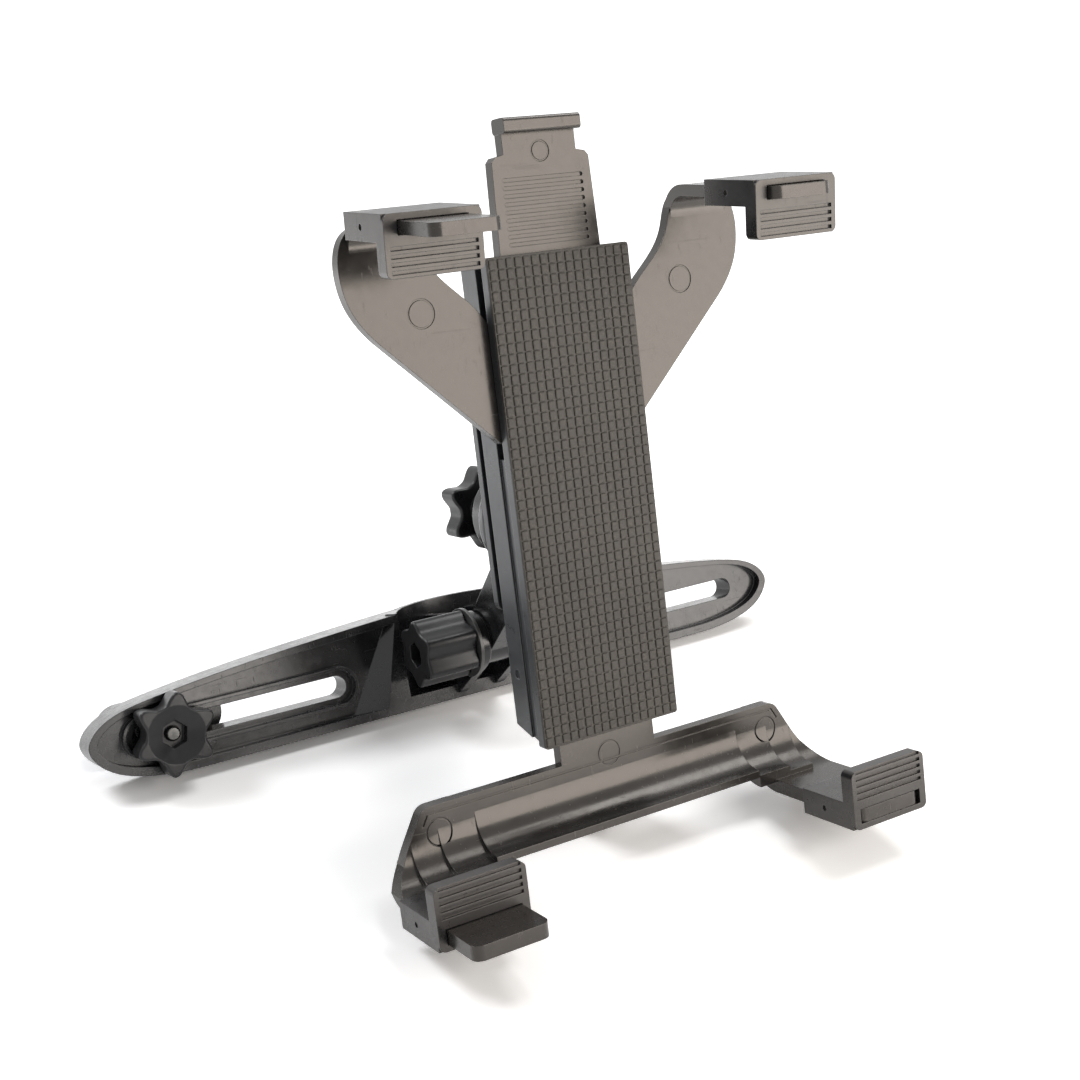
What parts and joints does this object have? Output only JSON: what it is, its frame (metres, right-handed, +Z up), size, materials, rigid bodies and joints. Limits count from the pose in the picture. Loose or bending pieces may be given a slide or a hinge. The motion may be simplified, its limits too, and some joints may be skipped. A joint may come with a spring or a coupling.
{
  "type": "headrest tablet holder",
  "caption": "Headrest tablet holder: slotted clamp bar with sliding post clamps, a tilting and swivelling arm, and a telescoping cradle with sliding corner jaws.",
  "frame": {"origin": "middle of the whole, on the floor that the bar and the rear leg stand on", "axes": "+X along the headrest bar, +Y from the tablet towards the headrest, +Z up"},
  "size_m": [0.287, 0.2002, 0.2238],
  "materials": {
    "black_plastic": "semi-gloss, fine moulded grain",
    "jaw_plastic": "satin, ribbed lip",
    "knob_plastic": "semi-gloss",
    "rubber": "matte, embossed weave",
    "steel": "dark plated",
    "washer_nylon": "matte nylon",
    "swivel_disc_plastic": "satin"
  },
  "bodies": {
    "bar": {"headrest_bar": "black_plastic", "tilt_bolt": "steel", "tilt_washer": "washer_nylon", "thin_washer": "washer_nylon"},
    "tilt_knob": {"tilt_knob": "knob_plastic"},
    "arm": {"tilt_arm": "black_plastic", "swivel_washer": "washer_nylon"},
    "rear_knob": {"rear_knob": "knob_plastic"},
    "holder": {"rubber_pad": "rubber", "front_cover": "black_plastic", "block_housing": "black_plastic", "back_plate": "black_plastic", "plate_screws": "steel", "swivel_base": "black_plastic", "swivel_disc": "swivel_disc_plastic", "swivel_bolt": "steel"},
    "upper_carriage": {"upper_carriage": "black_plastic"},
    "lower_carriage": {"lower_carriage": "black_plastic"},
    "upper_left_jaw": {"upper_left_jaw": "jaw_plastic"},
    "upper_right_jaw": {"upper_right_jaw": "jaw_plastic"},
    "lower_left_jaw": {"lower_left_jaw": "jaw_plastic"},
    "lower_right_jaw": {"lower_right_jaw": "jaw_plastic"},
    "left_shoe": {"left_slot_shoe": "black_plastic", "left_clamp_bush": "rubber"},
    "left_knob": {"left_star_knob": "knob_plastic"},
    "left_clamp": {"left_clamp_plate": "black_plastic", "left_clamp_liner": "rubber", "left_clamp_bolt": "steel"},
    "right_shoe": {"right_slot_shoe": "black_plastic", "right_clamp_bush": "rubber"},
    "right_knob": {"right_star_knob": "knob_plastic"},
    "right_clamp": {"right_clamp_plate": "black_plastic", "right_clamp_liner": "rubber", "right_clamp_bolt": "steel"}
  },
  "joints": [
    {"name": "tilt", "type": "hinge", "parent": "bar", "child": "arm", "pos_m": [0, 0.05485, 0.03], "axis": [1, 0, 0], "range_deg": [-75, 40]},
    {"name": "tilt_knob_turn", "type": "hinge", "parent": "bar", "child": "tilt_knob", "pos_m": [0, 0.05485, 0.03], "axis": [-1, 0, 0], "continuous": true},
    {"name": "rear_knob_turn", "type": "hinge", "parent": "arm", "child": "rear_knob", "pos_m": [-0.008, 0.00634, 0.09567], "axis": [0, 0.9744, -0.225], "continuous": true},
    {"name": "swivel", "type": "hinge", "parent": "arm", "child": "holder", "pos_m": [-0.008, 0.00634, 0.09567], "axis": [0, -0.9744, 0.225], "continuous": true},
    {"name": "upper_slide", "type": "slide", "parent": "holder", "child": "upper_carriage", "axis": [0, 0.225, 0.9744], "range_m": [0, 0.045]},
    {"name": "lower_slide", "type": "slide", "parent": "holder", "child": "lower_carriage", "axis": [0, -0.225, -0.9744], "range_m": [0, 0.045]},
    {"name": "upper_left_jaw_slide", "type": "slide", "parent": "upper_carriage", "child": "upper_left_jaw", "axis": [0, -0.9925, 0.1219], "range_m": [0, 0.0155]},
    {"name": "upper_right_jaw_slide", "type": "slide", "parent": "upper_carriage", "child": "upper_right_jaw", "axis": [0, -0.9925, 0.1219], "range_m": [-0.0155, 0]},
    {"name": "lower_left_jaw_slide", "type": "slide", "parent": "lower_carriage", "child": "lower_left_jaw", "axis": [0, -0.9744, 0.225], "range_m": [0, 0.0164]},
    {"name": "lower_right_jaw_slide", "type": "slide", "parent": "lower_carriage", "child": "lower_right_jaw", "axis": [0, -0.9744, 0.225], "range_m": [-0.0164, 0]},
    {"name": "left_post_slide", "type": "slide", "parent": "bar", "child": "left_shoe", "axis": [1, 0, 0], "range_m": [-0.0032, 0.054]},
    {"name": "left_knob_turn", "type": "hinge", "parent": "left_shoe", "child": "left_knob", "pos_m": [-0.116, 0.06678, 0.01828], "axis": [0, -0.9511, 0.309], "range_deg": [0, 2690]},
    {"name": "left_clamp_open", "type": "slide", "parent": "left_shoe", "child": "left_clamp", "axis": [0, 0.9511, -0.309], "range_m": [0, 0.006]},
    {"name": "right_post_slide", "type": "slide", "parent": "bar", "child": "right_shoe", "axis": [1, 0, 0], "range_m": [-0.004, 0.0532]},
    {"name": "right_knob_turn", "type": "hinge", "parent": "right_shoe", "child": "right_knob", "pos_m": [0.066, 0.06678, 0.01828], "axis": [0, -0.9511, 0.309], "range_deg": [0, 2690]},
    {"name": "right_clamp_open", "type": "slide", "parent": "right_shoe", "child": "right_clamp", "axis": [0, 0.9511, -0.309], "range_m": [0, 0.006]}
  ],
  "couplings": [
    {"joint": "left_clamp_open", "follows": "left_knob_turn", "m_per_rad": 0.00012732},
    {"joint": "right_clamp_open", "follows": "right_knob_turn", "m_per_rad": 0.00012732}
  ]
}
